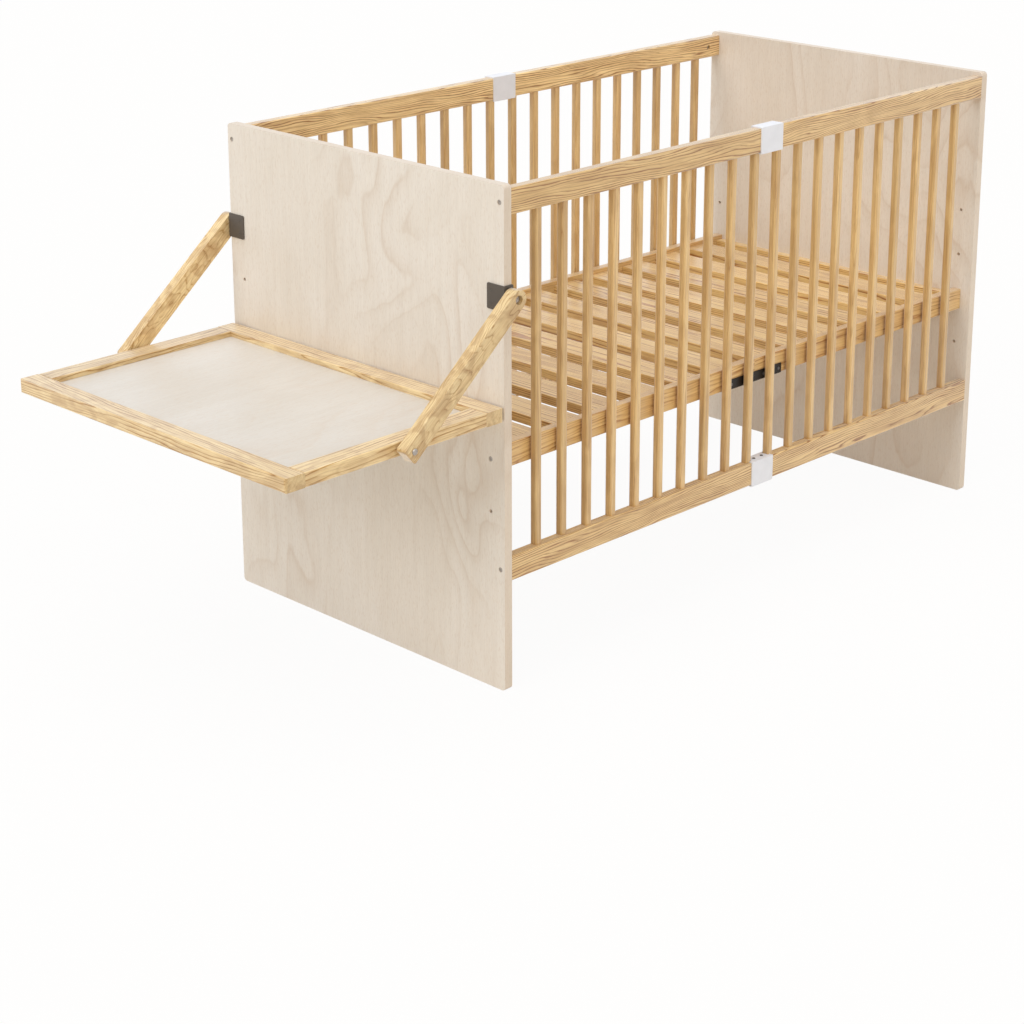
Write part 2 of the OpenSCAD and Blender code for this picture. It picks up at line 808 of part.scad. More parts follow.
near_end_panel();
far_end_panel();
top_rail(FRONT, NEAR);  // front_top_rail_near
top_rail(FRONT, FAR);  // front_top_rail_far
bottom_rail(FRONT, NEAR);  // front_bottom_rail_near
bottom_rail(FRONT, FAR);  // front_bottom_rail_far
top_rail(BACK, NEAR);  // back_top_rail_near
top_rail(BACK, FAR);  // back_top_rail_far
bottom_rail(BACK, NEAR);  // back_bottom_rail_near
bottom_rail(BACK, FAR);  // back_bottom_rail_far
side_slats(FRONT, NEAR);  // front_slats_near
side_slats(FRONT, FAR);  // front_slats_far
side_slats(BACK, NEAR);  // back_slats_near
side_slats(BACK, FAR);  // back_slats_far
sleeve(FRONT, top_rail_z, top_rail_h, -1);  // front_top_sleeve
sleeve(FRONT, bottom_rail_z, bottom_rail_h, 1);  // front_bottom_sleeve
sleeve(BACK, top_rail_z, top_rail_h, -1);  // back_top_sleeve
sleeve(BACK, bottom_rail_z, bottom_rail_h, 1);  // back_bottom_sleeve
sleeve_screws();
base_rail(FRONT, NEAR);  // base_rail_front_near
base_rail(FRONT, FAR);  // base_rail_front_far
base_rail(BACK, NEAR);  // base_rail_back_near
base_rail(BACK, FAR);  // base_rail_back_far
base_end_rail(NEAR);  // base_end_rail_near
base_end_rail(FAR);  // base_end_rail_far
base_slats(NEAR);  // base_slats_near
base_slats(FAR);  // base_slats_far
base_dowels();
base_plate(FRONT);  // base_plate_front
base_plate(BACK);  // base_plate_back
base_plate_screws();
top_rail_bolts();
bottom_rail_bolts();
base_bolts();
top_rail_nuts();
bottom_rail_nuts();
base_nuts();
bracket(FRONT);  // bracket_front
bracket(BACK);  // bracket_back
bracket_screws();
panel_inserts();
upper_pivot_bolts();
upper_washers();
arm(FRONT);  // arm_front
arm(BACK);  // arm_back
board_long_member(board_out);  // board_outer_member
board_long_member(tray_in);  // board_inner_member
board_side_member(FRONT);  // board_front_member
board_side_member(BACK);  // board_back_member
board_tray_panel();
board_dowels();
board_inserts();
lower_pivot_bolts();
lower_spacers();
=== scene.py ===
"""Looks of a crib with a swing-over changer: eased boards, wood, painted steel and a plain studio.

+X runs along the crib from the changer end, the front side is at -Y, and the floor is at z = 0.
"""

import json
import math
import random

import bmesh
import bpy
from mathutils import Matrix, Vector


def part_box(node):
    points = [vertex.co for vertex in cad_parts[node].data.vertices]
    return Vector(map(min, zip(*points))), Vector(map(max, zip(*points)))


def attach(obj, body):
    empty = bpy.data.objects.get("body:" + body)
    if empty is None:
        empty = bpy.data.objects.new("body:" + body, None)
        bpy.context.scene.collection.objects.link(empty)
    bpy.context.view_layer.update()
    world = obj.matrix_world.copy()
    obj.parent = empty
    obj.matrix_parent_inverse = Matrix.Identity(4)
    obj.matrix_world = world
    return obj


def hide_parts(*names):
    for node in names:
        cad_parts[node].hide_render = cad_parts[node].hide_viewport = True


bl_info = {
    "name": "Crib with changer",
    "version": (1, 0, 0),
    "blender": (4, 5, 0),
    "location": "View3D > Sidebar > Crib",
    "description": "Dresses the frame of a crib with a swing-over changer and sets a plain studio",
    "category": "Add Mesh",
}

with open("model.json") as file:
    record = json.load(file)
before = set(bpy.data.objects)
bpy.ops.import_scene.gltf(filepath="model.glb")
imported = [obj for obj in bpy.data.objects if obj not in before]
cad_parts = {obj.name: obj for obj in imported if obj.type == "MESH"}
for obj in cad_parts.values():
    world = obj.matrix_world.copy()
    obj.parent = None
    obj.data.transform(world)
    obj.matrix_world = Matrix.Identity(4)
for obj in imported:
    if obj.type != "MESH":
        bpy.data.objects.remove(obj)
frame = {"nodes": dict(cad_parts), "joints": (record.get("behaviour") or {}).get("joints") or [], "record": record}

IMAGE_SIZE = 1024
SENSOR_WIDTH = 36.0

# Body that carries each node
BODIES = frame["record"]["behaviour"]["bodies"]
BODY_OF = {node: body for body, nodes in BODIES.items() for node in nodes}

ALONG_X = Vector((1, 0, 0))
ALONG_Y = Vector((0, 1, 0))
ALONG_Z = Vector((0, 0, 1))

WHITE = (1.0, 1.0, 1.0, 1.0)


def linear(red, green, blue):
    """A colour as a screen shows it, 0 to 255, made linear for the shader."""
    channels = []
    for value in (red, green, blue):
        share = value / 255
        channels.append(share / 12.92 if share <= 0.04045 else ((share + 0.055) / 1.055) ** 2.4)
    return channels


def opaque(colour):
    """A colour as the four values that a colour socket takes."""
    return (colour[0], colour[1], colour[2], 1.0)


def colour_property(name, description, red, green, blue):
    return bpy.props.FloatVectorProperty(
        name=name, description=description, default=linear(red, green, blue),
        subtype="COLOR", size=3, min=0, max=1,
    )


def length_property(name, description, default):
    return bpy.props.FloatProperty(
        name=name, description=description, default=default, min=0, unit="LENGTH", precision=4
    )


def strength_property(name, description, default):
    return bpy.props.FloatProperty(name=name, description=description, default=default, min=0)


# ---------------------------------------------------------------- settings


class CribWoodSettings(bpy.types.PropertyGroup):
    """Colours and grain of the woods."""

    veneer: colour_property("Veneer", "Birch plywood between its growth lines", 235, 228, 218)
    # The tray's colour is a darker copy of the panels' veneer: painted shade that holds back the overhead lamp's
    # light on this upward face
    tray: colour_property("Tray", "Birch plywood of the changing board", 218, 213, 205)
    veneer_line: colour_property("Veneer line", "Growth lines of the birch plywood", 204, 182, 158)
    rail: colour_property("Rails", "Rails between their rings", 234, 200, 136)
    # The back rails' colour is a paler copy of the rail wood: painted light that lifts the shade falling on them
    # inside the crib
    back_rail_lifted_for_shade: colour_property("Back rails", "The paler rails of the back side", 245, 214, 152)
    rail_ring: colour_property("Rail rings", "Late wood of the rails", 156, 99, 32)
    slat: colour_property("Slats", "Side slats between their rings", 228, 193, 131)
    slat_ring: colour_property("Slat rings", "Late wood of the side slats", 164, 111, 46)
    frame_wood: colour_property("Changer frame", "Changer frame and arms between their rings", 234, 208, 154)
    frame_ring: colour_property("Changer rings", "Late wood of the changer frame and arms", 170, 118, 28)
    base: colour_property("Base", "Rails of the mattress base between their rings", 231, 193, 125)
    base_slat: colour_property("Base slats", "Cross slats of the base between their rings", 236, 201, 129)
    base_ring: colour_property("Base rings", "Late wood of the mattress base", 168, 104, 26)
    ring_width: length_property("Ring width", "Distance from one growth ring to the next", 0.0052)
    ply_thickness: length_property("Ply thickness", "Thickness of one layer of the plywood", 0.0014)


class CribMetalSettings(bpy.types.PropertyGroup):
    """Colours of the metal pieces."""

    sleeve: colour_property("Sleeves", "White paint of the joining sleeves", 234, 236, 243)
    bracket: colour_property("Brackets", "Dark paint of the corner brackets", 88, 80, 72)
    plate: colour_property("Base plates", "Black paint of the base's joining plates", 17, 12, 9)
    bolt: colour_property("Bolts", "Plated steel of the bolts", 182, 173, 164)
    screw: colour_property("Screws", "Darker plated steel of the small screws", 120, 117, 114)


class CribEdgeSettings(bpy.types.PropertyGroup):
    """How far the sharp edges are eased."""

    panel: length_property("Panels", "Easing of the end panels' edges", 0.0012)
    board: length_property("Boards", "Easing of the solid boards' ends", 0.0010)
    slat: length_property("Slats", "Easing of the side slats' ends and of the tray", 0.0005)
    arm: length_property("Arms", "Easing of the swing arms", 0.0015)
    sleeve: length_property("Sleeves", "Bend of the folded sleeves", 0.0011)
    metal: length_property("Metal", "Easing of bolts, plates and brackets", 0.0004)


class CribStudioSettings(bpy.types.PropertyGroup):
    """Camera, lamps and floor."""

    camera_place: bpy.props.FloatVectorProperty(
        name="Camera place", description="Where the camera stands", default=(-3.2641, -3.1485, 1.8808),
        subtype="TRANSLATION", unit="LENGTH", size=3,
    )
    camera_heading: bpy.props.FloatProperty(
        name="Camera heading", description="Turn from +X towards +Y", default=math.radians(44.307),
        unit="ROTATION",
    )
    camera_pitch: bpy.props.FloatProperty(
        name="Camera pitch", description="Tilt below the horizon", default=math.radians(16.896),
        unit="ROTATION",
    )
    focal_pixels: bpy.props.FloatProperty(
        name="Focal length", description="Focal length in pixels of the image", default=2375.8, min=1
    )
    axis_x: bpy.props.FloatProperty(
        name="Axis across", description="Pixel column that the lens axis meets", default=527.19
    )
    axis_y: bpy.props.FloatProperty(
        name="Axis down", description="Pixel row that the lens axis meets", default=330.0
    )
    key: strength_property("Key lamp", "Strength of the lamp at the changer end", 0.79)
    front: strength_property("Front lamp", "Strength of the lamp at the front", 0.62)
    top: strength_property("Top lamp", "Strength of the lamp overhead", 1.20)
    sky: strength_property("Sky", "Strength of the light all round", 0.48)
    floor: colour_property("Floor", "Colour of the floor", 238, 230, 217)
    floor_glow: bpy.props.FloatProperty(
        name="Floor glow", description="Share of plain white in the floor that the camera sees",
        default=0.94, min=0, max=1, subtype="FACTOR",
    )


# ---------------------------------------------------------------- shader nodes


class ShaderTree:
    """The shader nodes of one material or world."""

    def __init__(self, owner, output_kind):
        owner.use_nodes = True
        self.tree = owner.node_tree
        self.tree.nodes.clear()
        self.output = self.add(output_kind)

    def add(self, kind, inputs=None, **settings):
        """Adds a node. inputs maps a socket's name or number to a value or to the output that feeds it."""
        node = self.tree.nodes.new(kind)
        for key, value in settings.items():
            setattr(node, key, value)
        for key, value in (inputs or {}).items():
            if isinstance(value, bpy.types.NodeSocket):
                self.tree.links.new(value, node.inputs[key])
            else:
                node.inputs[key].default_value = value
        return node

    def math(self, operation, first, second=0.0, third=0.0):
        node = self.add("ShaderNodeMath", {0: first, 1: second, 2: third}, operation=operation)
        return node.outputs["Value"]

    def show(self, shader):
        self.tree.links.new(shader, self.output.inputs["Surface"])

    def show_white(self, lit, white, share):
        """Shows lit, but the camera, gloss and clear pieces see white in its place, by share."""
        rays = self.add("ShaderNodeLightPath").outputs
        seen = self.math("MAXIMUM", rays["Is Camera Ray"], rays["Is Glossy Ray"])
        seen = self.math("MAXIMUM", seen, rays["Is Transmission Ray"])
        seen = self.math("MULTIPLY", seen, share)
        self.show(self.add("ShaderNodeMixShader", {0: seen, 1: lit, 2: white}).outputs["Shader"])


class Finish(ShaderTree):
    """One material and the nodes that are added to it."""

    def __init__(self, name):
        self.material = bpy.data.materials.new(name)
        super().__init__(self.material, "ShaderNodeOutputMaterial")

    def surface(self, inputs):
        """The principled shader as the surface."""
        self.show(self.add("ShaderNodeBsdfPrincipled", inputs).outputs["BSDF"])

    def attribute(self, name):
        return self.add("ShaderNodeAttribute", attribute_name=name)

    def vector_math(self, operation, *vectors, output="Vector"):
        node = self.add("ShaderNodeVectorMath", dict(enumerate(vectors)), operation=operation)
        return node.outputs[output]

    def noise(self, place, factors, detail=2.0, roughness=0.5, distortion=0.0, output="Fac"):
        """Noise that repeats about factors times a metre along each axis of place."""
        node = self.add(
            "ShaderNodeTexNoise",
            {"Vector": self.vector_math("MULTIPLY", place, factors), "Scale": 1.0, "Detail": detail,
             "Roughness": roughness, "Distortion": distortion},
            noise_dimensions="3D",
        )
        return node.outputs[output]

    def ramp(self, factor, stops):
        """Maps factor to a grey or a colour. stops are pairs of position and grey or colour."""
        node = self.add("ShaderNodeValToRGB", {"Fac": factor})
        elements = node.color_ramp.elements
        while len(elements) < len(stops):
            elements.new(0.5)
        for element, (position, value) in zip(elements, stops):
            element.position = position
            element.color = opaque(value if hasattr(value, "__len__") else (value, value, value))
        return node.outputs["Color"]

    def mix(self, factor, first, second, blend="MIX"):
        node = self.add("ShaderNodeMix", {0: factor, 6: first, 7: second}, data_type="RGBA", blend_type=blend)
        return node.outputs[2]

    def tinted(self, colour, factor, stops):
        """The colour times the tint that factor picks from stops."""
        return self.mix(1.0, colour, self.ramp(factor, stops), "MULTIPLY")

    def bump(self, height, distance, strength):
        inputs = {"Height": height, "Distance": distance, "Strength": strength}
        return self.add("ShaderNodeBump", inputs).outputs["Normal"]


# ---------------------------------------------------------------- materials

# How often the patterns of sawn wood repeat in a metre: along the board, then the two ways across it
FADES = (6.0, 80.0, 80.0)
STREAKS = (3.0, 150.0, 150.0)
LINES = (7.0, 400.0, 400.0)
FIBRES = (9.0, 520.0, 520.0)
PORES = (45.0, 1300.0, 1300.0)

# How often strong and faint years take turns in a metre from the pith
YEARS = (70.0, 1.0, 1.0)

# How often the patterns of the plywood repeat: along its grain, across it, and through its layers
VENEER_BENDS = (2.4, 4.2, 1.0)
VENEER_QUIVERS = (14.0, 45.0, 1.0)
VENEER_PLACES = (2.2, 5.0, 1.0)
VENEER_STREAKS = (3.0, 75.0, 75.0)
VENEER_FIBRES = (30.0, 420.0, 420.0)
VENEER_CLOUDS = (3.0, 6.5, 1.0)
VENEER_FLECKS = (110.0, 330.0, 330.0)

# How often those of the paint and the zinc repeat, in every direction
PAINT_PEEL = (900.0, 900.0, 900.0)
PAINT_DUST = (40.0, 40.0, 40.0)
ZINC_WEAR = (700.0, 700.0, 700.0)

# How dark a growth ring is on its way outwards: pairs of place in the ring and shade
RING_SHADES = ((0.0, 0.12), (0.10, 0.0), (0.52, 0.05), (0.76, 0.45), (0.88, 1.0), (1.0, 0.12))
VENEER_SHADES = ((0.0, 0.15), (0.25, 0.0), (0.55, 0.12), (0.84, 0.55), (0.93, 1.0), (1.0, 0.15))

# How strongly a pattern shows: pairs of the pattern's value and its strength there
YEAR_STRENGTHS = ((0.30, 0.45), (0.60, 1.0))
FADE_STRENGTHS = ((0.36, 0.35), (0.56, 1.0))
LINE_STRENGTHS = ((0.54, 0.0), (0.66, 1.0))
PORE_STRENGTHS = ((0.58, 0.0), (0.72, 1.0))
ARCH_STRENGTHS = ((0.42, 0.05), (0.64, 1.0))
FLECK_STRENGTHS = ((0.54, 0.0), (0.70, 1.0))
LAYER_STRENGTHS = ((0.42, 0.0), (0.58, 1.0))

# Tints that the colour is multiplied by: pairs of a pattern's value and the tint there
STREAK_TINTS = ((0.30, (0.91, 0.86, 0.78)), (0.70, (1.05, 1.08, 1.13)))
FIBRE_TINTS = ((0.25, (0.87, 0.86, 0.82)), (0.75, (1.08, 1.09, 1.12)))
TONE_TINTS = ((0.0, (0.90, 0.88, 0.85)), (1.0, (1.07, 1.07, 1.08)))
VENEER_STREAK_TINTS = ((0.30, (0.980, 0.970, 0.960)), (0.65, (1.01, 1.01, 1.01)))
VENEER_FIBRE_TINTS = ((0.25, 0.945), (0.75, 1.035))
VENEER_CLOUD_TINTS = ((0.30, (0.955, 0.935, 0.91)), (0.65, (1.01, 1.01, 1.015)))
PAINT_TINTS = ((0.3, 0.97), (0.7, 1.03))
ZINC_TINTS = ((0.3, 0.86), (0.7, 1.04))
SAWN_END_TINT = (0.80, 0.76, 0.70)
PLY_EDGE_TINT = (0.96, 0.91, 0.85)

# How much the fine marks take on the colour of the rings or of the plywood's growth lines
LINE_DEPTH = 0.36
PORE_DEPTH = 0.30
FLECK_DEPTH = 0.22
LAYER_DEPTH = 0.35

# How much of its rings a sawn end shows
RINGS_ON_END = 0.25

# How far dark clouds go from the mean where light ones go 1, and how much further in green, and twice in blue
CLOUD_DEPTH = 1.6
CLOUD_WARMTH = 0.8

# Relief in metres, and how far late wood stands up in it and pores sink
WOOD_RELIEF = 0.00012
VENEER_RELIEF = 0.00008
PAINT_RELIEF = 0.00005
ZINC_RELIEF = 0.00004
LATE_RISE = 0.6
PORE_RISE = -0.8
VENEER_LINE_RISE = 0.5

# Roundness of the top of the plywood's arches, in metres
ARCH_ROUND = 0.09

# How many years lie in a metre across the plywood's grain and along it, and how many its noises are worth
YEARS_ACROSS = 9.0
YEARS_ALONG = 2.5
YEARS_OF_BEND = 7.0
YEARS_OF_QUIVER = 0.35


def sawn_wood(name, light, ring, ring_width, wander, contrast, figure=0.05, figure_scale=(7.0, 22.0, 22.0),
              bend_scale=(3.0, 16.0, 16.0), quiver_scale=(12.0, 150.0, 150.0), sheen=0.60):
    """Solid wood cut from a log. The attribute "grain" holds each point's place in the log, with x along it.

    The rings stray by about wander, in metres, and show by contrast. figure is how much the tone clouds.
    The scales say how often the clouds, the bends and the quiver of the rings repeat in a metre.
    """
    finish = Finish(name)
    grain = finish.attribute("grain").outputs["Vector"]
    tone = finish.attribute("tone").outputs["Fac"]
    side_grain = finish.math("SUBTRACT", 1.0, finish.attribute("end_grain").outputs["Fac"])

    # The log isn't round or straight, so the rings wander slowly along the board
    bend = finish.vector_math("SUBTRACT", finish.noise(grain, bend_scale, output="Color"), (0.5, 0.5, 0.5))
    bent = finish.vector_math("MULTIPLY_ADD", bend, (0.0, wander, wander), grain)
    across = finish.vector_math("MULTIPLY", bent, (0.0, 1.0, 1.0))
    radius = finish.vector_math("LENGTH", across, output="Value")
    rings = finish.math("ADD", finish.noise(grain, quiver_scale), finish.math("DIVIDE", radius, ring_width))
    late = finish.ramp(finish.math("FRACT", rings), RING_SHADES)

    # Rings are strong in some years and faint in others, fade along the board, and hardly show on a sawn end
    year = finish.noise(finish.add("ShaderNodeCombineXYZ", {"X": radius}).outputs["Vector"], YEARS)
    strength = finish.ramp(year, YEAR_STRENGTHS)
    fade = finish.ramp(finish.noise(grain, FADES, detail=1.0), FADE_STRENGTHS)
    on_side = finish.math("MULTIPLY_ADD", side_grain, 1 - RINGS_ON_END, RINGS_ON_END)
    for share in (strength, fade, contrast, on_side):
        late = finish.math("MULTIPLY", late, share)

    # Streaks, fibres and pores run along the board
    streak = finish.noise(grain, STREAKS, roughness=0.55)
    fibre = finish.noise(grain, FIBRES, detail=3.0, roughness=0.6)
    cloud = finish.noise(grain, figure_scale, distortion=1.2)
    lines = finish.ramp(finish.noise(grain, LINES, detail=1.5), LINE_STRENGTHS)
    pores = finish.ramp(finish.noise(grain, PORES, detail=1.0), PORE_STRENGTHS)

    # Dark clouds go further from the mean than light ones, and are yellower
    low, high = 1 - CLOUD_DEPTH * figure, 1 + figure
    cloud_dark = (low, low - CLOUD_WARMTH * figure, low - 2 * CLOUD_WARMTH * figure)
    cloud_light = (high, high, high + 0.02)
    colour = finish.mix(late, opaque(light), opaque(ring))
    colour = finish.tinted(colour, streak, STREAK_TINTS)
    colour = finish.tinted(colour, fibre, FIBRE_TINTS)
    colour = finish.tinted(colour, cloud, ((0.40, cloud_dark), (0.56, cloud_light)))
    colour = finish.tinted(colour, tone, TONE_TINTS)
    for marks, depth in ((lines, LINE_DEPTH), (pores, PORE_DEPTH)):
        on_side = finish.math("MULTIPLY", marks, side_grain)
        colour = finish.mix(finish.math("MULTIPLY", on_side, depth), colour, opaque(ring))
    sawn_end = finish.mix(1.0, colour, opaque(SAWN_END_TINT), "MULTIPLY")
    relief = finish.math("MULTIPLY_ADD", late, LATE_RISE, fibre)
    relief = finish.math("MULTIPLY_ADD", pores, PORE_RISE, relief)
    finish.surface({
        "Base Color": finish.mix(side_grain, sawn_end, colour),
        "Roughness": finish.math("MULTIPLY_ADD", late, -0.05, 0.30),
        "Specular IOR Level": 0.5,
        "Coat Weight": 0.5,
        "Coat Roughness": 0.30,
        "Sheen Weight": sheen,
        "Sheen Roughness": 0.45,
        "Normal": finish.bump(relief, WOOD_RELIEF, strength=0.4),
    })
    return finish.material


def rotary_veneer(name, pale, line, ply_thickness, figure=0.42):
    """Birch plywood. The attribute "grain" is zero at the top of the arches, with x along the grain.

    figure is how strongly the arches show.
    """
    finish = Finish(name)
    grain = finish.attribute("grain").outputs["Vector"]
    ply_edge = finish.attribute("ply_edge").outputs["Fac"]
    place = finish.add("ShaderNodeSeparateXYZ", {0: grain}).outputs

    # Nested arches where the knife cut through the years, bent by slow noise and shown only in places
    spread = finish.math("MULTIPLY", place["Y"], place["Y"])
    spread = finish.math("SQRT", finish.math("ADD", spread, ARCH_ROUND ** 2))
    years = finish.math("MULTIPLY", place["X"], YEARS_ALONG)
    years = finish.math("MULTIPLY_ADD", spread, YEARS_ACROSS, years)
    bend = finish.noise(grain, VENEER_BENDS, detail=1.0, roughness=0.4, distortion=0.8)
    years = finish.math("MULTIPLY_ADD", bend, YEARS_OF_BEND, years)
    quiver = finish.noise(grain, VENEER_QUIVERS, detail=2.5)
    years = finish.math("MULTIPLY_ADD", quiver, YEARS_OF_QUIVER, years)
    band = finish.ramp(finish.math("FRACT", years), VENEER_SHADES)
    shown = finish.ramp(finish.noise(grain, VENEER_PLACES, detail=1.0), ARCH_STRENGTHS)
    band = finish.math("MULTIPLY", finish.math("MULTIPLY", band, shown), figure)

    streak = finish.noise(grain, VENEER_STREAKS, detail=2.5, roughness=0.6)
    fibre = finish.noise(grain, VENEER_FIBRES, detail=3.0, roughness=0.65)
    cloud = finish.noise(grain, VENEER_CLOUDS, detail=2.5, distortion=0.7)
    flecks = finish.ramp(finish.noise(grain, VENEER_FLECKS, detail=1.5), FLECK_STRENGTHS)
    colour = finish.mix(band, opaque(pale), opaque(line))
    colour = finish.tinted(colour, streak, VENEER_STREAK_TINTS)
    colour = finish.tinted(colour, fibre, VENEER_FIBRE_TINTS)
    colour = finish.tinted(colour, cloud, VENEER_CLOUD_TINTS)
    colour = finish.mix(finish.math("MULTIPLY", flecks, FLECK_DEPTH), colour, opaque(line))

    # On the edges every second layer shows its darker end grain
    layer = finish.math("PINGPONG", finish.math("DIVIDE", place["Z"], ply_thickness), 1.0)
    dark_layer = finish.math("MULTIPLY", finish.ramp(layer, LAYER_STRENGTHS), ply_edge)
    colour = finish.mix(finish.math("MULTIPLY", dark_layer, LAYER_DEPTH), colour, opaque(line))
    edge = finish.mix(1.0, colour, opaque(PLY_EDGE_TINT), "MULTIPLY")
    relief = finish.math("MULTIPLY_ADD", band, VENEER_LINE_RISE, fibre)
    finish.surface({
        "Base Color": finish.mix(ply_edge, colour, edge),
        "Roughness": 0.40,
        "Specular IOR Level": 0.5,
        "Coat Weight": 0.25,
        "Coat Roughness": 0.35,
        "Sheen Weight": 0.15,
        "Sheen Roughness": 0.45,
        "Normal": finish.bump(relief, VENEER_RELIEF, strength=0.4),
    })
    return finish.material


def powder_coat(name, colour, roughness):
    """Sprayed paint on steel, with the slight waviness of the baked coat."""
    finish = Finish(name)
    place = finish.add("ShaderNodeTexCoord").outputs["Object"]
    peel = finish.noise(place, PAINT_PEEL, detail=1.0)
    dust = finish.noise(place, PAINT_DUST)
    finish.surface({
        "Base Color": finish.tinted(opaque(colour), dust, PAINT_TINTS),
        "Roughness": finish.math("MULTIPLY_ADD", dust, 0.10, roughness - 0.05),
        "Specular IOR Level": 0.45,
        "Normal": finish.bump(peel, PAINT_RELIEF, strength=0.5),
    })
    return finish.material


def plated_steel(name, colour, roughness):
    """Zinc plate with fine wear."""
    finish = Finish(name)
    place = finish.add("ShaderNodeTexCoord").outputs["Object"]
    wear = finish.noise(place, ZINC_WEAR, detail=3.0)
    finish.surface({
        "Base Color": finish.tinted(opaque(colour), wear, ZINC_TINTS),
        "Metallic": 1.0,
        "Roughness": finish.math("MULTIPLY_ADD", wear, 0.16, roughness - 0.08),
        "Normal": finish.bump(wear, ZINC_RELIEF, strength=0.4),
    })
    return finish.material


# ---------------------------------------------------------------- meshes

MERGE_DISTANCE = 2e-6
FLAT_ANGLE = math.radians(0.4)
SHARP_ANGLE = math.radians(48)
FLAT_FACE_WIDTH = 0.0015

# Where a board may lie in its log: half turns round the pith, metres from it, lean, and metres up the log
TURNS = (0.15, 0.85)
PITH_DISTANCES = (0.030, 0.075)
LEANS = (-0.04, 0.04)
STARTS = (0, 8)

# How far the plywood's noise may be shifted through its layers, so that no two panels share it
VENEER_SHIFTS = (1, 9)

# How nearly a sawn end faces along its board, and how little a plywood edge faces out of the panel
END_GRAIN_COSINE = 0.6
PLY_EDGE_COSINE = 0.5


def merged_copy(node):
    """The frame's mesh of a node with its loose triangles joined and its flat faces whole."""
    mesh = bmesh.new()
    mesh.from_mesh(frame["nodes"][node].data)
    bmesh.ops.remove_doubles(mesh, verts=mesh.verts, dist=MERGE_DISTANCE)
    bmesh.ops.dissolve_limit(mesh, angle_limit=FLAT_ANGLE, verts=mesh.verts, edges=mesh.edges)
    return mesh


def sharp_edges(mesh):
    return [e for e in mesh.edges if e.is_manifold and e.calc_face_angle(0) > SHARP_ANGLE]


def ease(mesh, width, segments=2):
    """Bevels every sharp edge by width."""
    if width > 0:
        bmesh.ops.bevel(
            mesh, geom=sharp_edges(mesh), offset=width, offset_type="OFFSET", segments=segments, profile=0.5,
            affect="EDGES", clamp_overlap=True, material=-1,
        )


def shade(mesh):
    """Round faces are smooth and broad flat ones stay flat."""
    for face in mesh.faces:
        perimeter = sum(edge.calc_length() for edge in face.edges)
        face.smooth = face.calc_area() < FLAT_FACE_WIDTH * perimeter
    for edge in sharp_edges(mesh):
        edge.smooth = False


def separate_boards(mesh):
    """The solids of a mesh, each as a list of its vertices, in the mesh's own order."""
    boards = []
    for vert in mesh.verts:
        vert.tag = False
    for start in mesh.verts:
        if start.tag:
            continue
        start.tag = True
        board = [start]
        for vert in board:
            for edge in vert.link_edges:
                other = edge.other_vert(vert)
                if not other.tag:
                    other.tag = True
                    board.append(other)
        boards.append(board)
    return boards


def cut_from_log(mesh, seed, along, across):
    """Gives each board its own place in a log, as "grain" and "tone", and marks the sawn ends."""
    chance = random.Random(seed)
    depth = along.cross(across)
    grain = mesh.verts.layers.float_vector.new("grain")
    tone = mesh.verts.layers.float.new("tone")
    end_grain = mesh.faces.layers.float.new("end_grain")
    for board in separate_boards(mesh):
        middle = sum((vert.co for vert in board), Vector()) / len(board)
        turn = chance.uniform(*TURNS) * math.pi
        pith = chance.uniform(*PITH_DISTANCES)
        lean = chance.uniform(*LEANS)
        start = chance.uniform(*STARTS)
        tone_of_board = chance.random()
        for vert in board:
            place = vert.co - middle
            x = place.dot(along)
            y = place.dot(across) + pith * math.cos(turn) + lean * x
            z = place.dot(depth) + pith * math.sin(turn)
            vert[grain] = Vector((x + start, y, z))
            vert[tone] = tone_of_board
    for face in mesh.faces:
        face[end_grain] = 1.0 if abs(face.normal.dot(along)) > END_GRAIN_COSINE else 0.0


def peeled_from_log(mesh, seed, along, across, arch):
    """Gives a plywood panel its figure, whose highest arch is at arch, and marks its edges."""
    depth = along.cross(across)
    shift = random.Random(seed).uniform(*VENEER_SHIFTS)
    grain = mesh.verts.layers.float_vector.new("grain")
    ply_edge = mesh.faces.layers.float.new("ply_edge")
    for vert in mesh.verts:
        place = vert.co - arch
        vert[grain] = Vector((place.dot(along), place.dot(across), place.dot(depth) + shift))
    for face in mesh.faces:
        face[ply_edge] = 1.0 if abs(face.normal.dot(depth)) < PLY_EDGE_COSINE else 0.0


def dress(node, mesh, material):
    """Makes the mesh a piece that stands for the node and moves as it does."""
    shade(mesh)
    data = bpy.data.meshes.new(node + "_finished")
    mesh.to_mesh(data)
    mesh.free()
    data.materials.append(material)
    piece = bpy.data.objects.new(node + "_finished", data)
    bpy.context.scene.collection.objects.link(piece)
    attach(piece, BODY_OF[node])
    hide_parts(node)


def dress_sawn(node, material, along, across, width, seed):
    mesh = merged_copy(node)
    ease(mesh, width)
    cut_from_log(mesh, seed, along, across)
    dress(node, mesh, material)


def dress_veneer(node, material, along, across, width, seed, arch):
    mesh = merged_copy(node)
    ease(mesh, width)
    peeled_from_log(mesh, seed, along, across, arch)
    dress(node, mesh, material)


def dress_metal(node, material, width, segments=2):
    mesh = merged_copy(node)
    ease(mesh, width, segments)
    dress(node, mesh, material)


# ---------------------------------------------------------------- pieces


